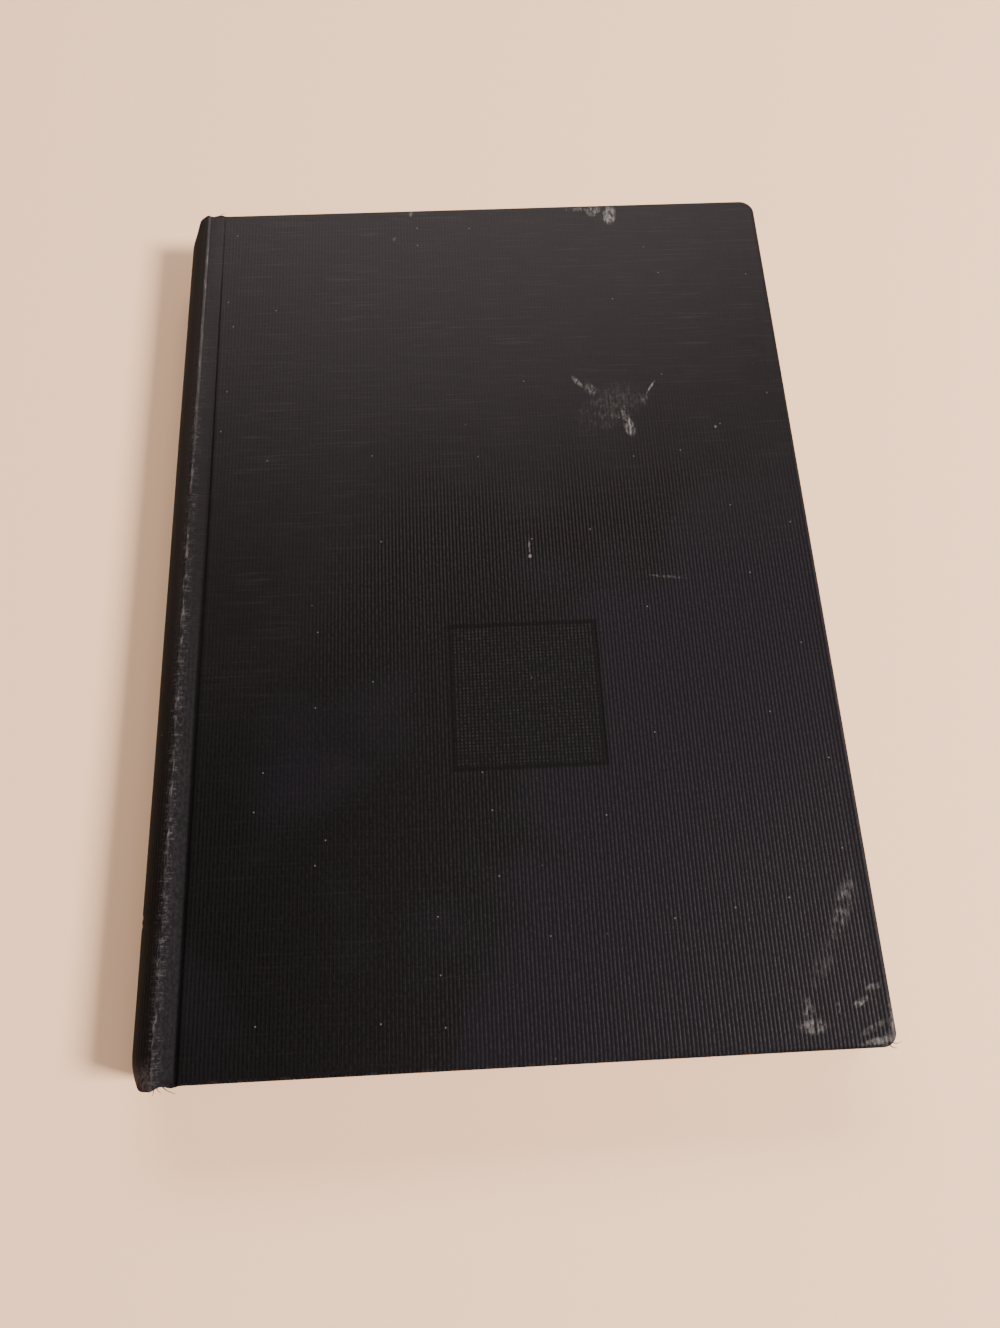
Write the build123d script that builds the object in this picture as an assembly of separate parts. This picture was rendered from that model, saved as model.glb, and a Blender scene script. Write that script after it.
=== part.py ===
# A cloth-bound hardback book, lying closed on its back cover.
# Millimetres. +X towards the fore-edge, +Y towards the head, +Z up.
# The origin is the middle of the book's footprint, on the surface it lies on.
# Sections are drawn in X and Z with x = 0 at the spine-side edge of the boards,
# and each finished piece is then shifted to the origin along X.
from build123d import *
import math
import os

# boards
board_height = 205.0      # head to tail, over the cloth
board_width = 136.0       # spine-side edge to fore-edge, over the cloth
board_thick = 2.4         # bare board
corner_round = 3.5        # fore-edge corners of the covered board
edge_round = 0.6          # cloth over the long edges of a board

# cloth, paper and other sheets
cloth_thick = 0.4
turn_in = 15.0            # how far the cloth is folded in behind a board
paper_thick = 0.15        # endpapers
mull_thick = 0.2          # open gauze glued to the back of the pages
lining_thick = 0.15       # paper glued over the gauze
strip_thick = 0.6         # card that stiffens the spine of the cover

# pages
text_thick = 10.8         # all the leaves, pressed
square = 3.0              # how far the boards stand out past the pages
fore_hollow = 3.0         # depth of the hollow fore-edge
shoulder_run = 2.9        # sloping part of the page block beside the board
shoulder_round = 2.0

# joint between board and spine
ridge_back = 4.4          # top of the shoulder, left of the board's edge
ridge_round = 1.5
groove_depth = 1.2
groove_flat = 0.9         # level foot of the groove beside the board
groove_round = 1.2
foot_round = 0.3
spine_half_angle = 70.0   # half of the arc that the spine bulges through

# hinge line, inside the shoulder
hinge_back = 4.7          # left of the board's edge
hinge_drop = 1.7          # below the face of the cover
cover_strip = 1.0         # cloth left of the board's edge that swings with it
strip_gap = 0.3           # cut in the cloth between spine and cover

# small clearances and margins
page_play = 0.1           # between pastedown and flyleaf
hollow_play = 0.1         # between the spine's turned-in cloth and its lining
paste_margin = 3.0        # bare turn-in left around a pastedown
mull_short = 1.0          # gauze stops this far inside the turn-ins
mull_flap = 25.0          # width of gauze glued to a board
lining_short = 1.5        # lining stops this far inside the page ends
strip_short = 8.0         # card strip stops this many degrees short of the ridges

# head and tail bands
band_radius = 0.8
band_rise = 0.5           # centre of the bead above the page ends
band_short = 10.0         # degrees left bare between a band and the ridges
band_tape = 8.0           # tape that runs down under the lining

# worked out from the sizes above
case_step = cloth_thick + board_thick + cloth_thick
book_thick = text_thick + 2 * (case_step + paper_thick + page_play + paper_thick)
mid_z = book_thick / 2
page_low = mid_z - text_thick / 2
page_top = mid_z + text_thick / 2
half_height = board_height / 2
half_board = half_height - cloth_thick
half_window = half_height - turn_in
half_page = half_height - square
half_mull = half_window - mull_short
half_lining = half_page - lining_short
page_fore = board_width - square

spine_radius = mid_z / math.sin(math.radians(spine_half_angle))
centre_x = spine_radius * math.cos(math.radians(spine_half_angle)) - ridge_back
strip_radius = spine_radius - cloth_thick
tuck_radius = strip_radius - strip_thick
lining_radius = tuck_radius - cloth_thick - hollow_play
mull_radius = lining_radius - lining_thick
page_radius = mull_radius - mull_thick
spine_left = centre_x - spine_radius
strip_half_angle = spine_half_angle - strip_short
band_half_angle = spine_half_angle - band_short
shift_x = -(spine_left + board_width) / 2

board_under = book_thick - cloth_thick - board_thick   # inner face of the front board
turn_under = board_under - cloth_thick                 # face of its turned-in cloth
far = 4 * board_height                                 # larger than the book in any direction


def prism(section, y_low, y_high):
    """A section drawn in X and Z, made solid from y_low to y_high."""
    return Pos(0, y_high, 0) * extrude(Plane.XZ * section, amount=y_high - y_low)


def block(x_low, x_high, y_low, y_high, z_low, z_high):
    """A plain box between two corners."""
    size = Box(x_high - x_low, y_high - y_low, z_high - z_low)
    return Pos((x_low + x_high) / 2, (y_low + y_high) / 2, (z_low + z_high) / 2) * size


def window(x_low, x_high, z_low, z_high):
    """A rectangle in the drawing plane of the sections."""
    size = Rectangle(x_high - x_low, z_high - z_low)
    return Pos((x_low + x_high) / 2, (z_low + z_high) / 2) * size


def on_arc(radius, angle):
    """The point at this angle above the spine's middle line."""
    lift = math.radians(angle)
    return (centre_x - radius * math.cos(lift), mid_z + radius * math.sin(lift))


def sector(outer, inner, half_angle):
    """A curved strip around the spine's centre."""
    reach = 2 * outer
    spread = reach * math.tan(math.radians(half_angle))
    wedge = make_face(Polyline((0, 0), (-reach, spread), (-reach, -spread), close=True))
    return Pos(centre_x, mid_z) * ((Circle(outer) - Circle(inner)) & wedge)


def near(section, x, z):
    """The corner of a section that lies nearest to a point."""
    return section.vertices().sort_by_distance((x, z, 0))[0]


def round_pairs(section, x, z, radius):
    """Rounds a corner above the middle line and its twin below."""
    section = fillet(near(section, x, z), radius)
    return fillet(near(section, x, book_thick - z), radius)


def case_section():
    """Outline of the closed book: boards, grooves, ridges and round spine."""
    foot = book_thick - groove_depth
    upper = [(-groove_flat, foot), (0, foot), (0, book_thick), (board_width, book_thick)]
    lower = [(x, book_thick - z) for x, z in reversed(upper)]
    ridge = on_arc(spine_radius, spine_half_angle)
    ridge_low = on_arc(spine_radius, -spine_half_angle)
    straight = Polyline(ridge, *upper, *lower, ridge_low)
    spine = ThreePointArc(ridge_low, on_arc(spine_radius, 0), ridge)
    section = make_face(straight + spine)
    section = round_pairs(section, *ridge, ridge_round)
    section = round_pairs(section, -groove_flat, foot, groove_round)
    section = round_pairs(section, 0, foot, foot_round)
    section = round_pairs(section, 0, book_thick, edge_round)
    return round_pairs(section, board_width, book_thick, edge_round)


def page_section():
    """Outline of the pages: rounded back, shoulders and hollow fore-edge."""
    tip = on_arc(page_radius, spine_half_angle)
    tip_low = on_arc(page_radius, -spine_half_angle)
    foot_x = tip[0] + shoulder_run
    back = ThreePointArc(tip_low, on_arc(page_radius, 0), tip)
    hollow = ThreePointArc((page_fore, page_top), (page_fore - fore_hollow, mid_z), (page_fore, page_low))
    top = Polyline(tip, (foot_x, page_top), (page_fore, page_top))
    bottom = Polyline((page_fore, page_low), (foot_x, page_low), tip_low)
    section = make_face(back + top + hollow + bottom)
    return round_pairs(section, foot_x, page_top, shoulder_round)


def plan(inset):
    """Outline of a cover seen from above, grown over the spine side."""
    shape = Pos(board_width / 2 - inset, 0) * Rectangle(board_width, 2 * (half_height - inset))
    corners = shape.vertices().group_by(Axis.X)[-1]
    shape = fillet(corners, corner_round - inset)
    side = Pos(-board_width / 2, 0) * Rectangle(board_width + 2 * inset, 2 * (half_height - inset))
    return extrude(shape + side, amount=far)


def turned_over(piece):
    """The same piece at the other cover."""
    return mirror(piece, Plane.XY.offset(mid_z))


outline = case_section()
under_cloth = offset(outline, amount=-cloth_thick)
under_fold = offset(outline, amount=-2 * cloth_thick)
pages = page_section()
card = sector(strip_radius, tuck_radius, strip_half_angle)


def board():
    """A bare board inside its cloth."""
    section = under_cloth & window(cloth_thick, far, board_under, book_thick)
    return prism(section, -half_board, half_board) & plan(cloth_thick)


def cover_cloth():
    """Cloth over a board: its face, edges, turn-ins and the strip in the groove."""
    shell = outline & window(-cover_strip, far, turn_under, book_thick)
    cloth = prism(shell, -half_height, half_height) & plan(0)
    cloth -= board()
    # between the turn-ins the board's inner face and the groove's underside are bare
    cloth -= block(-far, board_width - turn_in, -half_window, half_window, 0, board_under)
    cloth -= prism(under_cloth & window(-far, cloth_thick, 0, book_thick), -half_window, half_window)
    # towards head and tail the groove holds two layers
    hollow = under_fold & window(-far, 0, 0, book_thick)
    return cloth - prism(hollow, -half_height, half_height)


def spine_cloth():
    """Cloth around the spine, folded in over the card strip at head and tail."""
    clip = window(-far, -cover_strip - strip_gap, 0, book_thick)
    outer = (outline - under_cloth) & clip
    tuck_edge = strip_half_angle + math.degrees(cloth_thick / tuck_radius)
    wrap = (under_cloth - under_fold) & clip
    wrap += sector(strip_radius, tuck_radius - cloth_thick, tuck_edge)
    cloth = prism(outer, -half_height, half_height)
    for low, high in ((half_window, half_board), (-half_board, -half_window)):
        cloth += prism(wrap - card, low, high)
    for low, high in ((half_board, half_height), (-half_height, -half_board)):
        cloth += prism(wrap + card, low, high)
    return cloth


def pastedown():
    """Endpaper glued to a board, stepping over the turn-ins and the gauze."""
    fore = board_width - paste_margin
    half_paste = half_height - paste_margin
    flap = gauze_flap()
    flap_box = flap.bounding_box()
    sheet = block(cloth_thick, fore, -half_paste, half_paste, turn_under - paper_thick, board_under)
    sheet -= cover_cloth()
    sheet -= flap
    # pressed up to the board, or to the gauze, in the field inside the turn-ins
    inner_fore = board_width - turn_in - paper_thick
    inner_half = half_window - paper_thick
    lift = board_under - paper_thick
    sheet -= block(flap_box.max.X + paper_thick, inner_fore, -inner_half, inner_half, 0, lift)
    return sheet - block(-far, flap_box.max.X + paper_thick, -inner_half, inner_half, 0, lift - mull_thick)


def gauze_flap():
    """The part of the gauze that is glued to a board under its pastedown."""
    return block(cloth_thick, mull_flap, -half_mull, half_mull, board_under - mull_thick, board_under)


def flyleaf():
    """The loose leaf of an endpaper, from the shoulder to the fore-edge."""
    tip_x = on_arc(page_radius, spine_half_angle)[0]
    skin = offset(pages, amount=paper_thick) - pages
    leaf = skin & window(tip_x + paper_thick, page_fore, page_top, book_thick)
    return prism(leaf, -half_page, half_page)


def band():
    """Sewn bead at the head of the pages, with the tape that holds it."""
    bead = Pos(centre_x - mull_radius + band_radius, half_page + band_rise) * Circle(band_radius)
    above = Pos(centre_x, half_page + band_radius) * Rectangle(far, 2 * band_radius)
    tape_high = half_page + band_rise
    tape_low = half_page - band_tape
    tape = Pos(centre_x - (page_radius + mull_radius) / 2, (tape_low + tape_high) / 2)
    profile = (bead & above) + tape * Rectangle(mull_thick, tape_high - tape_low)
    axle = Axis((centre_x, 0, mid_z), (0, 1, 0))
    turned = revolve(Pos(0, 0, mid_z) * profile, axle, revolution_arc=2 * band_half_angle)
    return turned.rotate(axle, -band_half_angle)


front_board = board()
front_cloth = cover_cloth()
front_paste = pastedown()
front_gauze = gauze_flap()
front_leaf = flyleaf()
head_bead = band()

pieces = {
    "text_block": prism(pages, -half_page, half_page),
    "spine_mull": prism(sector(mull_radius, page_radius, spine_half_angle), -half_mull, half_mull),
    "spine_lining": prism(sector(lining_radius, mull_radius, spine_half_angle), -half_lining, half_lining),
    "head_band": head_bead,
    "tail_band": mirror(head_bead, Plane.XZ),
    "spine_strip": prism(card, -half_board, half_board),
    "spine_cloth": spine_cloth(),
    "front_board": front_board,
    "front_cover_cloth": front_cloth,
    "front_mull_flap": front_gauze,
    "front_pastedown": front_paste,
    "front_flyleaf": front_leaf,
    "back_board": turned_over(front_board),
    "back_cover_cloth": turned_over(front_cloth),
    "back_mull_flap": turned_over(front_gauze),
    "back_pastedown": turned_over(front_paste),
    "back_flyleaf": turned_over(front_leaf),
}

os.makedirs("parts", exist_ok=True)
for name, piece in pieces.items():
    export_step(Pos(shift_x, 0, 0) * piece, f"parts/{name}.step")

hinge_x = shift_x - hinge_back
print("book", round(board_width - spine_left, 2), "x", board_height, "x", round(book_thick, 2))
print("hinge x", round(hinge_x, 3), "front z", round(book_thick - hinge_drop, 3), "back z", hinge_drop)
print("board edge x", round(shift_x, 3), "ridge x", round(shift_x - ridge_back, 3))
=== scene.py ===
import bpy
import math
import numpy as np
from mathutils import Matrix, Vector


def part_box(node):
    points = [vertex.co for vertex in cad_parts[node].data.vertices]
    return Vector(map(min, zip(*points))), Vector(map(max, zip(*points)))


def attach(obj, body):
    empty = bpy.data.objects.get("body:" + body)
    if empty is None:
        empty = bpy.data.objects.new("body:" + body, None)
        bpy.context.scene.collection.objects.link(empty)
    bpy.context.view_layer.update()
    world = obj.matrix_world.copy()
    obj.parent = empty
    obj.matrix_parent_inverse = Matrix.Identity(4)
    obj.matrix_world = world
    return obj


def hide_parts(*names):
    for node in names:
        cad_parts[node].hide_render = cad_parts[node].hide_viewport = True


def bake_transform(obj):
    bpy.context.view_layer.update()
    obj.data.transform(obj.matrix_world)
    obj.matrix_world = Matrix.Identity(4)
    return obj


# A cloth-bound hardback book. Lengths in the dictionaries are millimetres.
# x runs from the boards' spine-side edge to the fore-edge, y from tail to head.
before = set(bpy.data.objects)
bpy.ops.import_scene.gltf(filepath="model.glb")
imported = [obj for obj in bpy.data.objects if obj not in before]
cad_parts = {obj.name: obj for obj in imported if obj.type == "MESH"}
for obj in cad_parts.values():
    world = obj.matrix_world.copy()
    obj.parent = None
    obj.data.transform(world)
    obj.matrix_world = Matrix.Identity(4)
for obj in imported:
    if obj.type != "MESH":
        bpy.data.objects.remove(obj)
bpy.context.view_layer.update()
mm = 0.001
noiseSource = np.random.default_rng(7)


def cornersOf(node):
    low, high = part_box(node)
    return np.array(low) / mm, np.array(high) / mm


clothLow, clothHigh = cornersOf("front_cover_cloth")
boardLow, boardHigh = cornersOf("front_board")
pageHigh = cornersOf("text_block")[1]
leafLow = cornersOf("front_flyleaf")[0]

clothThick = clothHigh[2] - boardHigh[2]
edgeX = boardLow[0] - clothThick          # spine-side edge of the covered boards
foreX = clothHigh[0] - edgeX              # board's width, over the cloth
topZ = clothHigh[2]
midZ = topZ / 2
halfHeight = clothHigh[1]
underZ = clothLow[2]                      # visible face of the turned-in cloth
halfPage = pageHigh[1]
print("frame: board", round(foreX, 1), "x", round(2 * halfHeight, 1), "thick", round(topZ, 1))


def ease(value, low, high):
    t = np.clip((value - low) / (high - low), 0.0, 1.0)
    return t * t * (3 - 2 * t)


def deselectAll():
    if bpy.context.object and bpy.context.object.mode != "OBJECT":
        bpy.ops.object.mode_set(mode="OBJECT")
    bpy.ops.object.select_all(action="DESELECT")


def activate(piece):
    deselectAll()
    piece.select_set(True)
    bpy.context.view_layer.objects.active = piece


def startGrid(name, columns, rows):
    # a flat sheet of columns x rows points, one unit square
    deselectAll()
    bpy.ops.mesh.primitive_grid_add(x_subdivisions=columns - 1, y_subdivisions=rows - 1, size=1)
    piece = bpy.context.object
    piece.name = name
    piece.data.name = name
    return piece


def readPoints(piece):
    flat = np.empty(len(piece.data.vertices) * 3)
    piece.data.vertices.foreach_get("co", flat)
    return flat.reshape(-1, 3)


def placePoints(piece, points):
    # points are in millimetres from the boards' edge, the mesh is in metres in the frame
    moved = (np.asarray(points) + np.array([edgeX, 0, 0])) * mm
    piece.data.vertices.foreach_set("co", moved.ravel())
    piece.data.update()


def carry(piece, name, values):
    # a note that each point keeps, and hands on to what is extruded from it
    layer = piece.data.attributes.new(name, "FLOAT_VECTOR", "POINT")
    layer.data.foreach_set("vector", np.asarray(values, float).ravel())


def readCarried(piece, name):
    flat = np.empty(len(piece.data.vertices) * 3)
    piece.data.attributes[name].data.foreach_get("vector", flat)
    return flat.reshape(-1, 3)


def thicken(piece, thickness):
    activate(piece)
    wall = piece.modifiers.new("wall", "SOLIDIFY")
    wall.thickness = thickness * mm
    wall.offset = -1
    bpy.ops.object.modifier_apply(modifier="wall")


def smooth(piece, degrees=50):
    activate(piece)
    bpy.ops.object.shade_smooth_by_angle(angle=math.radians(degrees))


def outward(piece):
    activate(piece)
    bpy.ops.object.mode_set(mode="EDIT")
    bpy.ops.mesh.select_all(action="SELECT")
    bpy.ops.mesh.normals_make_consistent(inside=False)
    bpy.ops.object.mode_set(mode="OBJECT")


def turnedOver(piece, name):
    # the same piece at the other cover, with its own mesh
    twin = piece.copy()
    twin.data = piece.data.copy()
    twin.name = name
    twin.data.name = name
    bpy.context.scene.collection.objects.link(twin)
    points = readPoints(twin)
    points[:, 2] = topZ * mm - points[:, 2]
    twin.data.vertices.foreach_set("co", points.ravel())
    activate(twin)
    bpy.ops.object.mode_set(mode="EDIT")
    bpy.ops.mesh.select_all(action="SELECT")
    bpy.ops.mesh.flip_normals()
    bpy.ops.object.mode_set(mode="OBJECT")
    return twin


def dress(piece, material):
    piece.data.materials.clear()
    piece.data.materials.append(material)


class Wire:
    # one value inside a material, so that shader maths reads as plain sums
    def __init__(self, tree, socket):
        self.tree = tree
        self.socket = socket

    def node(self, kind, settings, inputs, out=0):
        new = self.tree.nodes.new(kind)
        for name, value in settings.items():
            if name == "stops":
                ramp = new.color_ramp
                while len(ramp.elements) < len(value):
                    ramp.elements.new(0.5)
                for element, (place, color) in zip(ramp.elements, value):
                    element.position = place
                    element.color = color
            else:
                setattr(new, name, value)
        for key, value in inputs.items():
            if isinstance(value, Wire):
                self.tree.links.new(value.socket, new.inputs[key])
            else:
                new.inputs[key].default_value = value
        return Wire(self.tree, new.outputs[out])

    def maths(self, operation, *others):
        values = dict(enumerate((self,) + others))
        return self.node("ShaderNodeMath", {"operation": operation}, values)

    def flipped(self, operation, first):
        return self.node("ShaderNodeMath", {"operation": operation}, {0: first, 1: self})

    def __add__(self, other):
        return self.maths("ADD", other)

    def __sub__(self, other):
        return self.maths("SUBTRACT", other)

    def __mul__(self, other):
        return self.maths("MULTIPLY", other)

    def __truediv__(self, other):
        return self.maths("DIVIDE", other)

    def __rsub__(self, other):
        return self.flipped("SUBTRACT", other)

    __radd__ = __add__
    __rmul__ = __mul__

    def most(self, other):
        return self.maths("MAXIMUM", other)

    def step(self, low, high):
        # 0 below low, 1 above high, and soft between them; low may be the larger
        ends = {0: self, 1: low, 2: high, 3: 0.0, 4: 1.0}
        return self.node("ShaderNodeMapRange", {"interpolation_type": "SMOOTHSTEP"}, ends)

    def mix(self, first, second):
        # this value is the factor between two colours
        return self.node("ShaderNodeMix", {"data_type": "RGBA"}, {0: self, 6: first, 7: second}, 2)

    def noise(self, scale, detail=3.0, roughness=0.55):
        values = {"Vector": self, "Scale": scale, "Detail": detail, "Roughness": roughness}
        return self.node("ShaderNodeTexNoise", {}, values)

    def stretched(self, x, y, z):
        return self.node("ShaderNodeVectorMath", {"operation": "MULTIPLY"}, {0: self, 1: (x, y, z)})

    def part(self, axis):
        return self.node("ShaderNodeSeparateXYZ", {}, {0: self}, axis)


def gray(level, warmth=0.0):
    return (level * (1 + warmth), level, level * (1 - warmth), 1.0)


def startMaterial(name, roughness=0.6, sheen=0.0, specular=0.4, held=None):
    # held names the attribute that a bending piece keeps its places at rest in
    material = bpy.data.materials.new(name)
    material.use_nodes = True
    tree = material.node_tree
    shader = tree.nodes["Principled BSDF"]
    shader.inputs["Roughness"].default_value = roughness
    shader.inputs["Specular IOR Level"].default_value = specular
    shader.inputs["Sheen Weight"].default_value = sheen
    shader.inputs["Sheen Roughness"].default_value = 0.4
    if held:
        places = tree.nodes.new("ShaderNodeAttribute")
        places.attribute_name = held
        socket = places.outputs["Vector"]
    else:
        socket = tree.nodes.new("ShaderNodeTexCoord").outputs["Object"]
    place = Wire(tree, socket).stretched(1 / mm, 1 / mm, 1 / mm)
    return material, shader, place


def finishMaterial(shader, color=None, roughness=None, height=None, depth=0.1, strength=1.0):
    tree = shader.id_data
    if color is not None:
        tree.links.new(color.socket, shader.inputs["Base Color"])
    if roughness is not None:
        tree.links.new(roughness.socket, shader.inputs["Roughness"])
    if height is not None:
        values = {"Height": height, "Distance": depth * mm, "Strength": strength}
        bump = height.node("ShaderNodeBump", {}, values)
        tree.links.new(bump.socket, shader.inputs["Normal"])


def fibreFinish(shader, fibre, dark, light, depth, strength, ends=(0.3, 0.7)):
    # a finish that runs between two colours along a pattern, which also raises the surface
    finishMaterial(shader, fibre.step(*ends).mix(dark, light), None, fibre, depth, strength)


view = {
    "eye": (58.1, 12.1, 194.6),       # from the front board's tail corner, above its face
    "aim": (64.1, 80.25, 0.0),
    "lens": 26.0,
    "roll": 2.3,
}


def onCover(x, y, z=0.0):
    # a place measured from the front board's spine and tail corner, in metres
    return Vector((x + edgeX, y - halfHeight, z + topZ)) * mm


def addCamera():
    data = bpy.data.cameras.new("bookCamera")
    data.lens = view["lens"]
    data.sensor_width = 36.0
    data.clip_start = 0.01
    camera = bpy.data.objects.new("bookCamera", data)
    bpy.context.scene.collection.objects.link(camera)
    eye = onCover(*view["eye"])
    look = (onCover(*view["aim"]) - eye).to_track_quat("-Z", "Y").to_matrix().to_4x4()
    roll = Matrix.Rotation(math.radians(view["roll"]), 4, "Z")
    camera.matrix_world = Matrix.Translation(eye) @ look @ roll
    bpy.context.scene.camera = camera


studio = {
    "keyFrom": (0.95, -0.30, 0.95),   # metres, to the right and a little towards the tail
    "keySize": (0.30, 0.30),
    "keyPower": 48.0,
    "keyColor": (1.0, 0.88, 0.83),
    "farFrom": (0.0, 1.38, 1.24),     # a wide soft panel beyond the head
    "farSize": (1.5, 0.6),
    "farPower": 32.0,
    "farColor": (1.0, 0.88, 0.84),
    "room": (1.0, 0.88, 0.82),
    "wallLevel": 0.62,                # the room is light round the sides and dark overhead
    "ceilingLevel": 0.05,
    "floor": (0.92, 0.63, 0.40, 1.0),
}


def addLight(name, spot, size, power, color):
    data = bpy.data.lights.new(name, "AREA")
    data.shape = "RECTANGLE"
    data.size = size[0]
    data.size_y = size[1]
    data.energy = power
    data.color = color
    lamp = bpy.data.objects.new(name, data)
    bpy.context.scene.collection.objects.link(lamp)
    lamp.location = spot
    lamp.rotation_euler = (-Vector(spot)).to_track_quat("-Z", "Y").to_euler()


def addStudio():
    addLight("keyLight", studio["keyFrom"], studio["keySize"], studio["keyPower"], studio["keyColor"])
    addLight("farLight", studio["farFrom"], studio["farSize"], studio["farPower"], studio["farColor"])
    world = bpy.data.worlds.new("studio")
    bpy.context.scene.world = world
    world.use_nodes = True
    background = world.node_tree.nodes["Background"]
    background.inputs[0].default_value = (*studio["room"], 1.0)
    compass = world.node_tree.nodes.new("ShaderNodeTexCoord")
    height = Wire(world.node_tree, compass.outputs["Generated"]).part(2)
    level = height.step(0.85, 0.30) * (studio["wallLevel"] - studio["ceilingLevel"]) + studio["ceilingLevel"]
    world.node_tree.links.new(level.socket, background.inputs[1])
    deselectAll()
    bpy.ops.mesh.primitive_plane_add(size=6)
    floor = bpy.context.object
    floor.name = "floor"
    material, shader = startMaterial("floorPaint", roughness=0.75, specular=0.2)[:2]
    shader.inputs["Base Color"].default_value = studio["floor"]
    dress(floor, material)


cloth = {
    "ribPitch": 0.8,
    "ribHeight": 0.10,
    "ridgeBack": 4.4,       # shoulder, left of the board's edge
    "halfArc": 70.0,        # degrees of spine from its middle to the shoulder
    "grooveDepth": 1.2,
    "grooveFlat": 0.9,
    "soften": 0.30,         # how softly the cloth turns at corners
    "edgeRound": 0.6,
    "headCorner": 3.6,      # plan rounding of the fore-edge corners
    "tailCorner": 2.8,
    "turnIn": 15.0,
    "wall": 0.36,
    "capPush": 1.25,        # crushed ends of the spine
    "capReach": 5.5,
    "lean": 0.5,            # the spine has leaned a little, outwards at the tail
    "rows": (0.0, 0.6, 1.3, 2.2, 3.3, 4.6, 6.2, 8.5, 12.0, 18.0),   # from each end
    "middleRows": 9,
    "stripHalfArc": 62.0,
    "bendStart": 5.6,       # two places across the joint, left of the board's edge
    "bendEnd": 1.0,
}
rules = {"low": 29.6, "high": 31.3, "width": 0.7, "depth": 0.16}      # pressed lines across the spine
panel = {"x": 69.3, "y": 73.4, "half": 15.8, "line": 0.9, "depth": 0.09}   # plain pressed square

spineRadius = midZ / math.sin(math.radians(cloth["halfArc"]))
centreX = spineRadius * math.cos(math.radians(cloth["halfArc"])) - cloth["ridgeBack"]


def caseSection():
    # outer line of the cloth from the middle of the spine to the fore-edge, evenly spaced
    turns = np.radians(np.linspace(0, cloth["halfArc"], 240))
    arc = np.stack([centreX - spineRadius * np.cos(turns), midZ + spineRadius * np.sin(turns)], 1)
    foot = topZ - cloth["grooveDepth"]
    corners = [arc[-1], (-cloth["grooveFlat"], foot), (0, foot), (0, topZ), (foreX + 4, topZ)]
    line = [arc]
    for start, end in zip(corners, corners[1:]):
        start = np.array(start)
        end = np.array(end)
        steps = max(2, int(np.linalg.norm(end - start) / 0.05))
        line.append(start + (end - start) * np.linspace(0, 1, steps)[1:, None])
    line = np.concatenate(line)
    line = evenly(line, 0.05)
    reach = int(3 * cloth["soften"] / 0.05)
    bell = np.exp(-0.5 * (np.arange(-reach, reach + 1) * 0.05 / cloth["soften"]) ** 2)
    bell /= bell.sum()
    before = line[1:reach + 1][::-1] * [1, -1] + [0, 2 * midZ]
    after = line[-1] + (line[-1] - line[-reach - 1:-1][::-1])
    padded = np.concatenate([before, line, after])
    soft = np.stack([np.convolve(padded[:, axis], bell, "valid") for axis in (0, 1)], 1)
    return soft[soft[:, 0] < foreX - cloth["edgeRound"]]


def evenly(line, step):
    lengths = np.concatenate([[0], np.cumsum(np.linalg.norm(np.diff(line, axis=0), axis=1))])
    places = np.linspace(0, lengths[-1], int(lengths[-1] / step) + 1)
    return np.stack([np.interp(places, lengths, line[:, axis]) for axis in (0, 1)], 1)


def clothColumns():
    # three columns to a rib, then closer ones round the fore-edge corners
    section = caseSection()
    lengths = np.concatenate([[0], np.cumsum(np.linalg.norm(np.diff(section, axis=0), axis=1))])
    widest = max(cloth["headCorner"], cloth["tailCorner"])
    turnStart = lengths[np.searchsorted(section[:, 0], foreX - widest)]
    ribbed = np.arange(0, turnStart, cloth["ribPitch"] / 3)
    turning = np.sin(np.radians(np.linspace(0, 90, 16)))
    places = np.concatenate([ribbed, turnStart + (lengths[-1] - turnStart) * turning])
    points = np.stack([np.interp(places, lengths, section[:, axis]) for axis in (0, 1)], 1)
    tangents = np.gradient(points, places, axis=0)
    tangents /= np.linalg.norm(tangents, axis=1)[:, None]
    inward = np.stack([tangents[:, 1], -tangents[:, 0]], 1)
    return places, points, inward


def clothRows():
    limit = halfHeight - cloth["edgeRound"]
    ends = np.array(cloth["rows"])
    middle = np.linspace(-limit + ends[-1], limit - ends[-1], cloth["middleRows"] + 2)[1:-1]
    extra = []
    for line in (rules["low"], rules["high"]):
        extra += [line - rules["width"], line - 0.2, line + 0.2, line + rules["width"]]
    for edge in (panel["y"] - panel["half"], panel["y"] + panel["half"]):
        extra += [edge - panel["line"], edge, edge + panel["line"]]
    rows = np.concatenate([-limit + ends, middle, np.array(extra) - halfHeight, limit - ends])
    return np.unique(np.round(rows, 3))


def spinePush(y):
    # how far the ends of the spine are crushed inwards
    fromEnd = np.clip(1 - (halfHeight - np.abs(y)) / cloth["capReach"], 0, 1)
    return cloth["capPush"] * fromEnd ** 2


def spineLean(y):
    return cloth["lean"] * y / halfHeight


def wander(y, seed):
    # slow unevenness along the spine
    slow = 0.55 * np.sin(y / 21.0 + seed) + 0.3 * np.sin(y / 8.3 + 2.1 * seed)
    return slow + 0.15 * np.sin(y / 3.1 + seed)


def ribStrength(x, y):
    # ribs are rubbed flat towards the head, at the edges, on the ridge and in the pressed square
    tall = y + halfHeight
    worn = 1.0 - 0.55 * ease(tall - 48 * ease(x, 5, 55), 62, 112)
    worn = worn * (1 - 0.85 * np.exp(-((x + 2.9) / 2.3) ** 4))
    worn = worn * (1 - 0.5 * ease(np.hypot((x - foreX) / 20, (tall) / 14), 1.0, 0.3))
    inside = np.maximum(np.abs(x - panel["x"]), np.abs(tall - panel["y"]))
    worn = worn * (1 - 0.7 * ease(inside, panel["half"] + 0.2, panel["half"] - 0.4))
    edge = np.minimum(foreX - x, halfHeight - np.abs(y))
    return worn * ease(edge, 0.7, 2.6)


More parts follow.
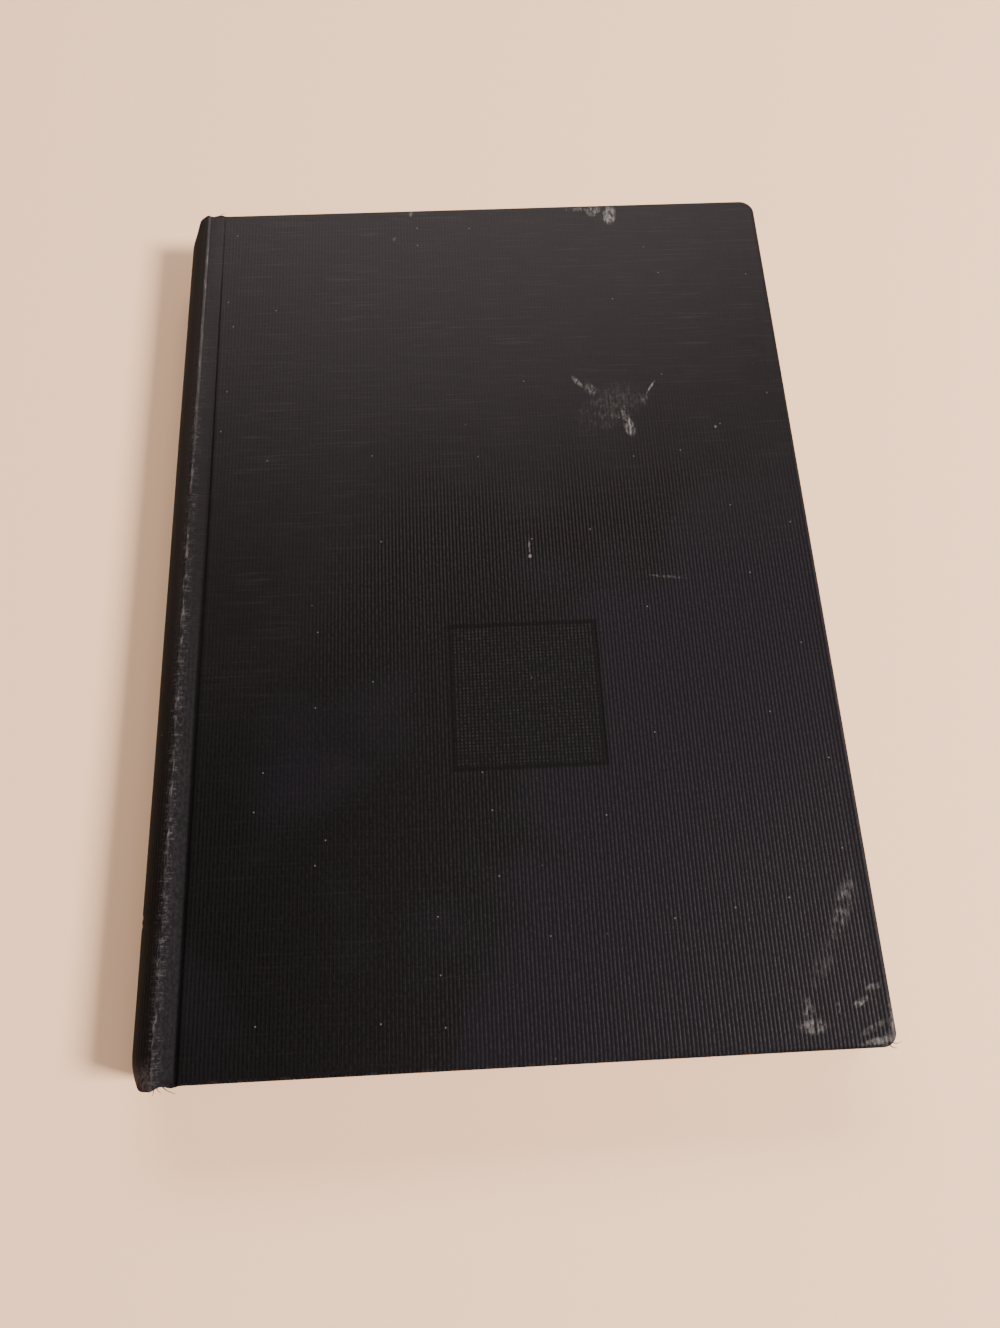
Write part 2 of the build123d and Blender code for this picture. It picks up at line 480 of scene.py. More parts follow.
def buildCaseCloth():
    places, points, inward = clothColumns()
    rows = clothRows()
    piece = startGrid("front_case_cloth", len(places), len(rows))
    limit = halfHeight - cloth["edgeRound"]
    y = np.repeat(rows, len(places)).astype(float)
    x = np.tile(points[:, 0], len(rows))
    z = np.tile(points[:, 1], len(rows))
    along = np.tile(places, len(rows))
    inX = np.tile(inward[:, 0], len(rows))
    inZ = np.tile(inward[:, 1], len(rows))
    columns = len(places)

    # plan corners at the fore-edge: the row ends draw back along a quarter round
    corner = np.where(y > 0, cloth["headCorner"], cloth["tailCorner"])
    turn = corner - cloth["edgeRound"]
    past = np.clip((x - (foreX - corner)) / turn, 0, 1)
    drawn = turn * (1 - np.sqrt(np.clip(1 - past ** 2, 0, 1)))
    y = y - np.sign(y) * drawn * (np.abs(y) / limit) ** 8

    # the groove is pressed shallower towards the head
    deeper = ease(-y, -74, -44)
    depthHere = 0.02 + 0.50 * deeper + 0.48 * ease(-y, -48, 40) + 0.05 * wander(y, 1.0) * deeper
    groove = ease(x, -cloth["ridgeBack"] - 0.2, -cloth["ridgeBack"] + 0.6)
    filled = (1 - depthHere) * groove * ease(x, 1.5, 0.9)
    z = z + (topZ - z) * filled
    inX = inX * (1 - filled)
    inZ = inZ * (1 - filled) - filled
    # crushed ends and unevenness of the spine
    push = spinePush(y) * (0.2 * ease(x, -4.6, -6.0) + 0.8 * ease(x, -7.0, -10.0))
    push = push + 0.05 * (wander(y, 3.0) + 1) * ease(x, -1.5, -4.5)
    x = x + inX * push + spineLean(y) * ease(x, -0.8, -3.6)
    z = z + inZ * push
    # the turned-in cloth makes a small lump at the ends of the joint and a lip over the shoulder
    nearEnd = ease(np.abs(y), halfHeight - 3.0, halfHeight - 0.8)
    lump = np.exp(-((x + 1.3) / 1.0) ** 2) * nearEnd
    lip = ease(x, -3.0, -5.2) * ease(x, -9.5, -7.0) * nearEnd
    y = y + np.sign(y) * (0.35 * lump + 0.8 * lip)
    z = np.minimum(z + 0.25 * lump + 0.25 * lip, topZ)
    # pressed lines across the spine, and the pressed square's border on the front
    tall = y + halfHeight
    for line in (rules["low"], rules["high"]):
        pressed = rules["depth"] * np.exp(-((tall - line) / 0.35) ** 2) * ease(x, -4.3, -5.0)
        x = x + inX * pressed
        z = z + inZ * pressed
    inside = np.maximum(np.abs(x - panel["x"]), np.abs(tall - panel["y"]))
    z = z - panel["depth"] * ease(inside, panel["half"] + 0.45, panel["half"] + 0.05)
    # ribs: every third column is a valley
    valley = 0.5 + 0.5 * np.cos(2 * math.pi * along / cloth["ribPitch"])
    dip = cloth["ribHeight"] * valley * ribStrength(x, y)
    x = x + inX * dip
    z = z + inZ * dip
    base = np.stack([x, y, z], 1)

    # where the fold at each edge leads: straight through to the turned-in face, then inwards
    onBoard = ease(x, -0.4, 0.1)
    inStrip = ease(x, centreX - (spineRadius * math.cos(math.radians(cloth["stripHalfArc"]))) + 0.2,
                   centreX - (spineRadius * math.cos(math.radians(cloth["stripHalfArc"]))) - 0.3)
    fold = 2 * clothThick + 0.55 * inStrip
    farX = (1 - onBoard) * (x + inX * fold) + onBoard * x
    farZ = (1 - onBoard) * (z + inZ * fold) + onBoard * (underZ + (topZ - z))
    far = np.stack([farX, y, farZ], 1)
    sign = np.where(y > 0, 1.0, -1.0)
    outX = past
    outY = sign * np.sqrt(np.clip(1 - past ** 2, 0, 1))
    atFore = np.tile(np.arange(columns) == columns - 1, len(rows))
    atEnd = np.repeat((rows == rows[0]) | (rows == rows[-1]), columns)
    outX = np.where(atFore & ~atEnd, 1.0, outX)
    outY = np.where(atFore & ~atEnd, 0.0, outY)
    out = np.stack([outX, outY, np.zeros_like(outX)], 1)
    ragged = 0.5 * np.sin(along * 0.9) * np.sin(along * 0.23 + 1) + 0.4 * np.sin(y * 0.31) - 1.1
    fromSide = np.where(atFore & ~atEnd, halfHeight - np.abs(y), foreX - x)
    deep = np.minimum(cloth["turnIn"] + ragged, np.maximum(fromSide, 3.2))
    tuckX = np.where(atFore, foreX - deep, np.minimum(farX, foreX - deep))
    sideY = np.sign(y) * np.minimum(np.abs(y), halfHeight - deep)
    tuckY = np.where(atFore & ~atEnd, sideY, sign * (halfHeight - deep))
    tuck = np.stack([tuckX, tuckY, farZ], 1)

    placePoints(piece, base)
    for name, values in (("base", base), ("far", far), ("out", out), ("tuck", tuck)):
        carry(piece, name, values)
    # the weave follows the cloth: u across the ribs, v along them
    weave = piece.data.uv_layers.active or piece.data.uv_layers.new(name="weave")
    weave.name = "weave"
    corners = np.empty(len(piece.data.loops), int)
    piece.data.loops.foreach_get("vertex_index", corners)
    spread = np.stack([along[corners], y[corners]], 1) * 0.01
    weave.data.foreach_set("uv", spread.ravel())

    borders = np.zeros(len(piece.data.vertices), bool)
    borders[atEnd | atFore] = True
    foldOver(piece, borders)
    thicken(piece, cloth["wall"])
    for name in ("base", "far", "out", "tuck"):
        piece.data.attributes.remove(piece.data.attributes[name])
    return piece


def foldOver(piece, borders):
    # folds the marked border round the edge and in behind, ring by ring
    radius = cloth["edgeRound"]
    piece.data.vertices.foreach_set("select", borders)
    piece.data.edges.foreach_set("select", [False] * len(piece.data.edges))
    piece.data.polygons.foreach_set("select", [False] * len(piece.data.polygons))
    activate(piece)
    bpy.context.tool_settings.mesh_select_mode = (False, True, False)
    ends = np.empty(len(piece.data.edges) * 2, int)
    piece.data.edges.foreach_get("vertices", ends)
    ends = ends.reshape(-1, 2)
    uses = edgeUses(piece)
    chosen = borders[ends[:, 0]] & borders[ends[:, 1]] & (uses == 1)
    piece.data.edges.foreach_set("select", chosen)
    bpy.ops.object.mode_set(mode="EDIT")
    rings = [("near", angle) for angle in (30, 60, 90)]
    rings += [("deep", angle) for angle in (90, 60, 30, 0)]
    rings += [("tuck", 0.5), ("tuck", 1.0)]
    for kind, amount in rings:
        bpy.ops.mesh.extrude_edges_move(TRANSFORM_OT_translate={"value": (0, 0, 0)})
        bpy.ops.object.mode_set(mode="OBJECT")
        picked = np.empty(len(piece.data.vertices), bool)
        piece.data.vertices.foreach_get("select", picked)
        points = readPoints(piece)
        base, far, out, tuck = (readCarried(piece, name)[picked] for name in ("base", "far", "out", "tuck"))
        through = far - base
        depth = np.linalg.norm(through, axis=1)[:, None]
        bend = np.minimum(radius, depth / 2) / depth
        if kind == "tuck":
            place = far + (tuck - far) * amount
        else:
            turn = math.radians(amount)
            share = bend * (1 - math.cos(turn))
            if kind == "deep":
                share = 1 - share
            place = base + out * radius * math.sin(turn) + through * share
        points[picked] = (place + np.array([edgeX, 0, 0])) * mm
        piece.data.vertices.foreach_set("co", points.ravel())
        piece.data.update()
        bpy.ops.object.mode_set(mode="EDIT")
    bpy.ops.object.mode_set(mode="OBJECT")


def edgeUses(piece):
    count = np.zeros(len(piece.data.edges), int)
    used = np.empty(len(piece.data.loops), int)
    piece.data.loops.foreach_get("edge_index", used)
    np.add.at(count, used, 1)
    return count


def buildCover():
    front = buildCaseCloth()
    back = turnedOver(front, "back_case_cloth")
    for piece in (front, back):
        smooth(piece)
        carry(piece, "rest", readPoints(piece))
    dress(front, clothMaterial("frontCloth", True))
    dress(back, clothMaterial("backCloth", False))
    start = (edgeX - cloth["bendStart"]) * mm
    end = (edgeX - cloth["bendEnd"]) * mm
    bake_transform(front)
    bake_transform(back)
    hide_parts("front_cover_cloth", "spine_cloth")
    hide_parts("back_cover_cloth")
    print("cloth:", len(front.data.polygons), "faces on each side")


# rubbed places on the front: x and y from the board's tail corner, half length and half width,
# the turn of its length from the ribs' direction, and its strength
rubs = {
    "headRub": (98.3, 201.6, 3.6, 2.0, 8, 1.0),
    "headRubSide": (94.2, 203.2, 2.4, 2.2, 40, 0.75),
    "headRubFaint": (90.0, 203.8, 3.4, 0.9, 90, 0.6),
    "headNick": (47.4, 204.2, 1.6, 0.6, 10, 0.7),
    "headNickSmall": (43.0, 195.8, 1.0, 0.5, 15, 0.5),
    "scuff": (93.5, 144.0, 11.0, 7.0, 55, 0.28),
    "scuffTop": (86.2, 151.2, 2.3, 0.8, -32, 0.85),
    "scuffTopTrail": (89.2, 149.0, 2.6, 1.6, -20, 0.5),
    "scuffSpot": (97.7, 138.2, 2.9, 1.5, -8, 1.0),
    "scuffTrail": (96.8, 141.8, 3.0, 1.2, 0, 0.55),
    "scratch": (103.7, 149.0, 2.4, 0.32, 33, 1.0),
    "scratchLow": (101.6, 145.4, 2.0, 1.3, 20, 0.5),
    "dash": (72.1, 108.0, 2.6, 0.30, 2, 0.6),
    "dashEnd": (72.1, 105.6, 0.6, 0.45, 0, 1.1),
    "dot": (117.9, 137.5, 0.55, 0.4, 0, 1.1),
    "arc": (102.5, 99.2, 5.0, 0.4, -82, 0.5),
    "streak": (129.6, 26.4, 8.5, 2.4, 24, 0.46),
    "streakLow": (124.2, 16.2, 7.0, 2.2, 30, 0.28),
    "tailScuff": (120.2, 4.4, 1.7, 3.2, 0, 0.7),
    "tailScuffTop": (119.6, 7.6, 2.6, 1.6, 10, 0.5),
    "tailMark": (125.5, 7.6, 1.4, 0.5, 10, 0.75),
    "cornerMark": (130.0, 8.4, 0.8, 2.0, -30, 0.9),
    "cornerDots": (133.0, 11.0, 0.8, 2.2, -10, 0.6),
    "cornerRing": (131.6, 3.6, 0.8, 3.6, -25, 0.45),
    "cornerRim": (132.6, 1.3, 0.8, 4.6, -8, 0.7),
    "cornerSide": (135.3, 5.0, 4.0, 0.7, 0, 0.6),
}


def rubMask(x, y, name):
    # 1 in the middle of a rubbed place, falling to 0 at its edge
    placeX, placeY, halfLong, halfWide, turn, strength = rubs[name]
    co = math.cos(math.radians(turn))
    si = math.sin(math.radians(turn))
    dx = x - placeX
    dy = y - placeY
    wide = (dx * co - dy * si) / halfWide
    long = (dx * si + dy * co) / halfLong
    return (wide * wide + long * long).step(1.3, 0.0) * strength


def clothMaterial(name, isFront):
    material, shader, place = startMaterial(name, roughness=0.5, specular=0.12, held="rest")
    x = place.part(0) - edgeX
    y = place.part(1) + halfHeight
    weave = place.node("ShaderNodeUVMap", {"uv_map": "weave"}, {})
    rib = (weave.part(0) * (2 * math.pi * 100 / cloth["ribPitch"])).maths("COSINE")      # 1 in the valleys
    crest = rib.step(0.45, -0.8)
    # every rib is a row of short floats of thread, some caught by the light
    floats = weave.stretched(100 / cloth["ribPitch"], 120, 0).noise(1.0, 2.0, 0.6).step(0.32, 0.68)
    weft = weave.stretched(14, 330, 0).noise(1.0, 2.0, 0.65)
    weftLong = weave.stretched(5, 210, 0).noise(1.0, 2.0, 0.6).step(0.52, 0.72)
    patch = place.noise(0.035, 2.0, 0.5)
    # rubbed smooth over the head half, and further down beside the joint
    flatter = (y - x.step(5.0, 55.0) * 48.0 + patch * 30.0).step(70.0, 122.0)
    # a violet cast shows towards the fore-edge and tail
    violet = (patch + x.step(40.0, 120.0) * 0.25 - y.step(60.0, 150.0) * 0.2).step(0.45, 0.68)
    valley = violet.mix((0.0012, 0.0010, 0.0011, 1), (0.0034, 0.0029, 0.0042, 1))
    top = violet.mix((0.0112, 0.0106, 0.0110, 1), (0.0112, 0.0102, 0.0140, 1))
    # painted shade: the cloth is painted blacker beside the joint, at the tail, where less light reaches it
    paintedShadeAtTail = x.step(75.0, 5.0) * y.step(118.0, 50.0)
    lit = crest * (floats * 0.6 + 0.4) * (1.0 - paintedShadeAtTail * 0.7)
    color = lit.mix(valley, top)
    warp = weave.stretched(330, 30, 0).noise(1.0, 2.0, 0.6)
    smoothThread = weft.step(0.3, 0.75) * 0.6 + warp.step(0.45, 0.8) * 0.35
    smoothColor = smoothThread.mix((0.0018, 0.0015, 0.0017, 1), (0.0056, 0.0050, 0.0055, 1))
    color = (flatter * 0.90).mix(color, smoothColor)
    color = (weftLong * weft.step(0.35, 0.6) * (flatter * 0.30 + 0.10)).mix(color, gray(0.024, 0.03))
    if isFront:
        # the pressed square shows as cross-woven thread, with a dark line round it
        acrossPanel = (x - panel["x"]).maths("ABSOLUTE")
        alongPanel = (y - panel["y"]).maths("ABSOLUTE")
        inside = acrossPanel.most(alongPanel)
        square = inside.step(panel["half"] + 0.2, panel["half"] - 0.2)
        rows = (weave.part(1) * (2 * math.pi * 100 / 0.75)).maths("COSINE").step(0.7, -0.4)
        dots = crest * (rows * weft.step(0.3, 0.6) * 0.8 + 0.2)
        pressed = (dots * (floats * 0.7 + 0.3)).mix((0.0016, 0.0014, 0.0016, 1), (0.0200, 0.0185, 0.0195, 1))
        color = (square * 0.85).mix(color, pressed)
        border = (inside - panel["half"] - 0.1).maths("ABSOLUTE").step(0.75, 0.25)
        color = (border * 0.8).mix(color, (0.0011, 0.0009, 0.0010, 1))
    # the joint is fuzzy, its ridge rubbed pale along the threads, the spine side browner, with painted light
    # towards the head
    fuzz = place.stretched(1.6, 1.0, 1.6).noise(1.0, 4.0, 0.8)
    band = x.step(-5.0, -4.2) * x.step(-0.2, -0.8)
    towardsTail = y.step(150.0, 30.0)
    felt = fuzz.step(0.35, 0.75).mix((0.0034, 0.0031, 0.0038, 1), (0.0135, 0.0128, 0.0160, 1))
    color = (x.step(-5.4, -4.6) * x.step(0.2, -2.4) * (towardsTail * 0.9 + 0.1)).mix(color, felt)
    side = x.step(-4.9, -6.4)
    # painted light and shade: the spine side is painted lighter at the head, where the far light falls, and
    # near black at the tail
    sideBrownAndLight = towardsTail.mix((0.0190, 0.0160, 0.0150, 1), (0.0012, 0.0010, 0.0010, 1))
    color = (side * (0.75 + crest * -0.2)).mix(color, sideBrownAndLight)
    away = (x + 4.5 + (y - 100.0) * -0.004).maths("ABSOLUTE")
    threads = place.stretched(2.2, 0.35, 0.4).noise(1.0, 3.0, 0.7).step(0.42, 0.62)
    crossed = place.stretched(0.35, 2.4, 0.35).noise(1.0, 3.0, 0.75).step(0.46, 0.66)
    broken = place.stretched(0.5, 0.16, 0.5).noise(1.0, 2.0, 0.6).step(0.50, 0.60)
    crisp = away.step(0.55, 0.15) * (threads * (broken * 0.9 + 0.25) + y.step(120.0, 170.0) * 0.5)
    wide = away.step(2.2, 0.3) * crossed * fuzz.step(0.40, 0.62) * y.step(185.0, 130.0)
    color = (wide * 0.55).mix(color, gray(0.085, 0.05))
    color = (crisp * 0.6).mix(color, (0.115, 0.105, 0.112, 1))
    # worn edges and ends
    head = (y - 2 * halfHeight + 0.45).step(-0.35, 0.2)
    tail = (0.45 - y).step(-0.35, 0.2)
    edges = (x - foreX + 0.5).step(-0.4, 0.2).most(head).most(tail)
    rim = edges * place.noise(0.4, 4.0, 0.75).step(0.45, 0.68)
    color = (rim * 0.35).mix(color, (0.034, 0.030, 0.030, 1))
    caps = (y.step(5.5, 1.5) + y.step(203.0, 205.5) * 0.5) * x.step(-4.4, -6.4) * fuzz.step(0.35, 0.6)
    color = (caps * 0.7).mix(color, (0.078, 0.062, 0.062, 1))
    rubbed = rim * 0.3 + crisp * 0.3 + caps * 0.3
    speckle = place.stretched(1.5, 0.7, 1.5).noise(0.9, 4.0, 0.75).step(0.36, 0.68)
    if isFront:
        marks = None
        for key in rubs:
            mark = rubMask(x, y, key)
            marks = mark if marks is None else marks.most(mark)
        pale = (marks * (speckle * 1.15 + crest * 0.15 + 0.08)).step(0.04, 1.3)
        color = pale.mix(color, gray(0.135, 0.02))
        rubbed = rubbed + pale * 0.5
    # a few specks of dust
    flat = {"voronoi_dimensions": "2D"}
    spread = {"Vector": place, "Scale": 0.085}
    cells = place.node("ShaderNodeTexVoronoi", flat, spread)
    chosen = place.node("ShaderNodeTexVoronoi", flat, spread, 1)
    dust = cells.step(0.019, 0.008) * chosen.part(0).step(0.62, 0.76)
    color = (dust * 0.6).mix(color, gray(0.13, 0.02))
    # bare board at the worn tail corner
    cornerX = x - foreX
    tip = (cornerX * cornerX + y * y).step(14.0, 2.0) * place.noise(0.8, 3.0, 0.7).step(0.36, 0.56)
    color = (tip * 0.7).mix(color, (0.062, 0.055, 0.056, 1))
    height = floats * (0.4 - flatter * 0.35) + weft * 0.35 + speckle * 0.2 + fuzz * band * 0.5
    shine = crest.most(flatter * 0.9) * (1.0 - side.most(band * towardsTail)) * 0.48
    rough = 0.90 - shine - paintedShadeAtTail * 0.12 + rubbed * 0.25 + edges * 0.3
    finishMaterial(shader, color, rough, height, depth=0.06, strength=0.8)
    return material


pages = {
    "leaf": 0.2,            # two leaves to a step
    "gap": 0.06,            # groove between steps
    "sectionLeaves": 6,     # steps in a sewn section
    "columns": 22,
    "rows": 14,
    "shoulder": 2.9,
    "hollow": 3.0,
}


def buildPages():
    piece = startGrid("page_block", pages["columns"], pages["rows"])
    thick = leafLow[2] - (topZ - leafLow[2])
    lowZ = topZ - leafLow[2]
    steps = int(round(thick / pages["leaf"]))
    leaf = thick / steps
    activate(piece)
    bpy.ops.object.mode_set(mode="EDIT")
    bpy.ops.mesh.select_all(action="SELECT")
    for step in range(steps):
        for rise in (0.35, 0.30, 0.35):
            bpy.ops.mesh.extrude_region_move(TRANSFORM_OT_translate={"value": (0, 0, rise)})
    bpy.ops.object.mode_set(mode="OBJECT")
    raw = readPoints(piece)
    share = raw[:, 0] + 0.5                    # 0 at the spine, 1 at the fore-edge
    side = raw[:, 1] * 2
    level = raw[:, 2]                          # counts steps from the bottom
    part = np.round((level - np.floor(level + 0.01)) * 100)
    number = np.clip(np.floor(level + 0.01), 0, steps - 1).astype(int)
    lift = 2 * level / steps - 1               # -1 at the bottom, 1 at the top
    pageRadius = (pageHigh[2] - midZ) / math.sin(math.radians(cloth["halfArc"]))
    turn = np.radians(cloth["halfArc"] * lift)
    spineX = centreX - pageRadius * np.cos(turn)
    spineZ = midZ + pageRadius * np.sin(turn)
    flatZ = lowZ + level * leaf
    footX = centreX - pageRadius * math.cos(math.radians(cloth["halfArc"])) + pages["shoulder"]
    fore = (foreX - 3.0) - pages["hollow"] * (1 - lift ** 2)
    # a third of the columns follow the shoulder, the rest the flat leaf
    bendShare = 0.3
    near = np.clip(share / bendShare, 0, 1)
    farShare = np.clip((share - bendShare) / (1 - bendShare), 0, 1)
    x = np.where(share < bendShare, spineX + (footX - spineX) * near, footX + (fore - footX) * farShare)
    curl = (1 - near) ** 1.6
    z = flatZ + (spineZ - flatZ) * curl
    y = side * halfPage
    # leaves end unevenly: a groove between them and a deeper one between sections
    leafNoise = noiseSource.uniform(0.0, 0.05, steps)
    endNoise = noiseSource.uniform(0.0, 0.07, steps)
    grooved = np.where((part > 30) & (part < 70), 0.0, 1.0)
    deep = np.where((number % pages["sectionLeaves"] == 0) & (part < 30), 0.16, pages["gap"])
    rag = 0.03 * np.sin(x * 0.35 + number * 1.7) + 0.03 * np.sin(x * 0.11 + number)
    inset = grooved * deep + endNoise[number] + rag + 0.03
    y = np.where(np.abs(side) > 0.999, np.sign(side) * (halfPage - inset), y)
    ragFore = 0.03 * np.sin(side * 40 + number * 1.3)
    foreInset = grooved * deep + leafNoise[number] + ragFore + 0.03
    x = np.where(share > 0.999, x - foreInset, x)
    x = np.where(share < 0.001, x + 0.03, x)
    placePoints(piece, np.stack([x, y, z], 1))
    outward(piece)
    smooth(piece, 30)
    dress(piece, pageMaterial())
    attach(piece, "block")
    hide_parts("text_block")
    print("pages:", steps, "steps,", len(piece.data.polygons), "faces")


def pageMaterial():
    material, shader, place = startMaterial("pageEdges", roughness=0.85, specular=0.2)
    lines = place.stretched(0.02, 0.02, 9.0).noise(1.0, 3.0, 0.8)
    wide = place.stretched(0.01, 0.01, 1.3).noise(1.0, 2.0, 0.6)
    stain = place.noise(0.035, 3.0, 0.6)
    color = lines.step(0.3, 0.7).mix((0.43, 0.35, 0.25, 1), (0.70, 0.62, 0.49, 1))
    color = (wide.step(0.35, 0.7) * 0.35).mix(color, (0.50, 0.40, 0.28, 1))
    color = (stain.step(0.45, 0.75) * 0.35).mix(color, (0.38, 0.29, 0.19, 1))
    # the upper leaves are darker at the head end, towards the front board
    upperHeadDarker = place.part(2).step(midZ, topZ - 4.0) * place.part(1).step(halfPage - 1.5, halfPage)
    color = (upperHeadDarker * 0.35).mix(color, (0.25, 0.19, 0.13, 1))
    finishMaterial(shader, color, None, lines + wide * 0.5, depth=0.06, strength=0.7)
    return material


def paperMaterial():
    material, shader, place = startMaterial("endpaper", roughness=0.8, specular=0.25)
    fibre = place.noise(0.9, 4.0, 0.7)
    age = place.noise(0.02, 3.0, 0.55)
    color = fibre.step(0.3, 0.7).mix((0.60, 0.50, 0.36, 1), (0.68, 0.58, 0.43, 1))
    side = (place.part(1).maths("ABSOLUTE")).step(halfHeight - 30, halfHeight - 4)
    fore = (place.part(0) - edgeX).step(foreX - 28, foreX - 5)
    tan = side.most(fore) * age.step(0.25, 0.7)
    color = (tan * 0.55).mix(color, (0.40, 0.28, 0.165, 1))
    foxing = place.noise(0.16, 1.0, 0.5).step(0.70, 0.78)
    color = (foxing * 0.45).mix(color, (0.35, 0.20, 0.10, 1))
    finishMaterial(shader, color, None, fibre, depth=0.04, strength=0.5)
    return material


gutter = {
    # from the pastedown round the board's edge, under the groove and up to the hinge
    "route": ((1.2, 14.72), (0.0, 14.72), (-0.18, 15.1), (-0.2, 15.7), (-0.7, 15.95), (-1.6, 16.05),
              (-2.6, 16.35), (-3.4, 16.68), (-3.95, 16.72), (-4.05, 16.45), (-3.7, 16.22)),
    "wall": 0.13,
    "bendStart": 3.95,
    "bendEnd": 0.25,
}


def buildGutters(paper):
    # the folded strip of each endpaper between pastedown and flyleaf
    route = evenly(np.array(gutter["route"]), 0.25)
    rows = 24
    front = startGrid("front_endpaper_fold", len(route), rows)
    y = np.repeat(np.linspace(-halfPage, halfPage, rows), len(route))
    x = np.tile(route[:, 0], rows)
    z = np.tile(route[:, 1], rows)
    placePoints(front, np.stack([x, y, z], 1))
    thicken(front, gutter["wall"])
    outward(front)
    back = turnedOver(front, "back_endpaper_fold")
    start = (edgeX - gutter["bendStart"]) * mm
    end = (edgeX - gutter["bendEnd"]) * mm
    for piece in (front, back):
        smooth(piece, 60)
        dress(piece, paper)
    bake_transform(front)
    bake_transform(back)


bandSize = {"radius": 0.62, "seat": 0.40, "reach": 7.0, "halfArc": 58.0, "wraps": 34}


def buildSpineCard():
    turns = np.radians(np.linspace(-cloth["stripHalfArc"], cloth["stripHalfArc"], 41))
    rows = np.unique(np.concatenate([np.linspace(-halfHeight + 0.8, halfHeight - 0.8, 9),
                                     halfHeight - np.array([0.8, 1.6, 2.6, 3.8, 5.5]),
                                     np.array([0.8, 1.6, 2.6, 3.8, 5.5]) - halfHeight]))
    piece = startGrid("spine_card", len(turns), len(rows))
    y = np.repeat(rows, len(turns))
    angle = np.tile(turns, len(rows))
    radius = spineRadius - clothThick - 0.1 - spinePush(y)
    points = np.stack([centreX + spineLean(y) - radius * np.cos(angle), y, midZ + radius * np.sin(angle)], 1)
    placePoints(piece, points)
    thicken(piece, 0.35)
    outward(piece)
    smooth(piece)
    material, shader, place = startMaterial("card", roughness=0.85, specular=0.2)
    fibre = place.noise(0.8, 3.0, 0.7)
    fibreFinish(shader, fibre, (0.22, 0.16, 0.10, 1), (0.32, 0.25, 0.17, 1), 0.05, 0.5)
    dress(piece, material)
    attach(piece, "block")
    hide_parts("spine_strip")


def closeEnds(piece):
    activate(piece)
    bpy.ops.object.mode_set(mode="EDIT")
    bpy.context.tool_settings.mesh_select_mode = (False, True, False)
    bpy.ops.mesh.select_all(action="DESELECT")
    bpy.ops.mesh.select_non_manifold()
    bpy.ops.mesh.edge_face_add()
    bpy.ops.object.mode_set(mode="OBJECT")


def buildBands():
    # a core laid along the back of the pages, wrapped in thread
    material, shader, place = startMaterial("bandThread", roughness=0.7, specular=0.3)
    strands = place.stretched(3.0, 6.0, 3.0).noise(1.0, 2.0, 0.6)
    dust = place.noise(0.3, 3.0, 0.6)
    rise = place.part(2) - midZ
    across = edgeX + centreX - place.part(0)
    around = rise.node("ShaderNodeMath", {"operation": "ARCTAN2"}, {0: rise, 1: across})
    stripe = (around * bandSize["wraps"]).maths("SINE").step(-0.3, 0.3)
    color = stripe.mix((0.25, 0.075, 0.055, 1), (0.55, 0.49, 0.38, 1))
    color = (strands.step(0.3, 0.7) * 0.5).mix(color, (0.16, 0.12, 0.09, 1))
    color = (dust.step(0.4, 0.7) * 0.5).mix(color, (0.12, 0.095, 0.07, 1))
    finishMaterial(shader, color, None, strands, 0.06, 0.8)
    for name, node, end in (("head_band_sewn", "head_band", 1), ("tail_band_sewn", "tail_band", -1)):
        reach = bandSize["reach"]
        seat = end * (halfPage + bandSize["seat"])
        spot = ((edgeX + centreX - reach) * mm, seat * mm, midZ * mm)
        deselectAll()
        bpy.ops.mesh.primitive_circle_add(vertices=14, radius=bandSize["radius"] * mm, location=spot)
        piece = bpy.context.object
        piece.name = name
        piece.data.name = name
        bpy.ops.object.transform_apply(location=True, rotation=True, scale=True)
        steps = bandSize["wraps"] * 2
        turn = math.radians(bandSize["halfArc"])
        bpy.ops.object.mode_set(mode="EDIT")
        bpy.ops.mesh.select_all(action="SELECT")
        centre = ((edgeX + centreX) * mm, 0, midZ * mm)
        bpy.ops.mesh.spin(steps=steps, angle=2 * turn, center=centre, axis=(0, 1, 0))
        bpy.ops.object.mode_set(mode="OBJECT")
        points = readPoints(piece) / mm - np.array([edgeX, 0, 0])
        angle = np.arctan2(points[:, 2] - midZ, centreX - points[:, 0])
        angle = angle - (angle.max() + angle.min()) / 2
        radius = np.hypot(points[:, 2] - midZ, centreX - points[:, 0])
        ring = np.round((angle + turn) / (2 * turn) * steps).astype(int)
        swell = np.where(ring % 2 == 0, 1.0, 0.86)
        radius = reach + (radius - reach) * swell
        y = seat + (points[:, 1] - seat) * swell
        # the underside is flat on the ends of the leaves
        y = end * np.maximum(end * y, halfPage + 0.02)
        points = np.stack([centreX - radius * np.cos(angle), y, midZ + radius * np.sin(angle)], 1)
        placePoints(piece, points)
        closeEnds(piece)
        outward(piece)
        smooth(piece, 60)
        dress(piece, material)
        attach(piece, "block")
        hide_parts(node)


threads = {
    # frayed ends: start, a point on the way and the loose end, and the body that each starts from
    "tailThreadLong": ((-3.2, -102.3, 16.6), (-2.4, -103.4, 16.3), (-0.9, -103.9, 15.4), "block"),
    "tailThreadShort": ((-5.0, -102.4, 16.2), (-4.6, -103.5, 16.0), (-5.3, -104.2, 15.2), "block"),
    "tailThreadCurl": ((-4.0, -102.3, 16.9), (-3.9, -103.1, 17.2), (-3.1, -103.6, 16.8), "block"),
    "cornerThread": ((135.0, -101.7, 17.2), (135.9, -102.2, 17.3), (137.0, -101.6, 16.9), "front_cover"),
    "cornerThreadLow": ((134.6, -102.1, 16.6), (135.3, -102.9, 16.6), (136.4, -102.8, 16.1), "front_cover"),
    "headThread": ((-1.6, 102.4, 17.7), (-1.2, 103.3, 17.8), (-0.2, 103.6, 17.5), "block"),
}


threadSize = {"radius": 0.11, "sides": 6, "steps": 8, "taper": 0.93}


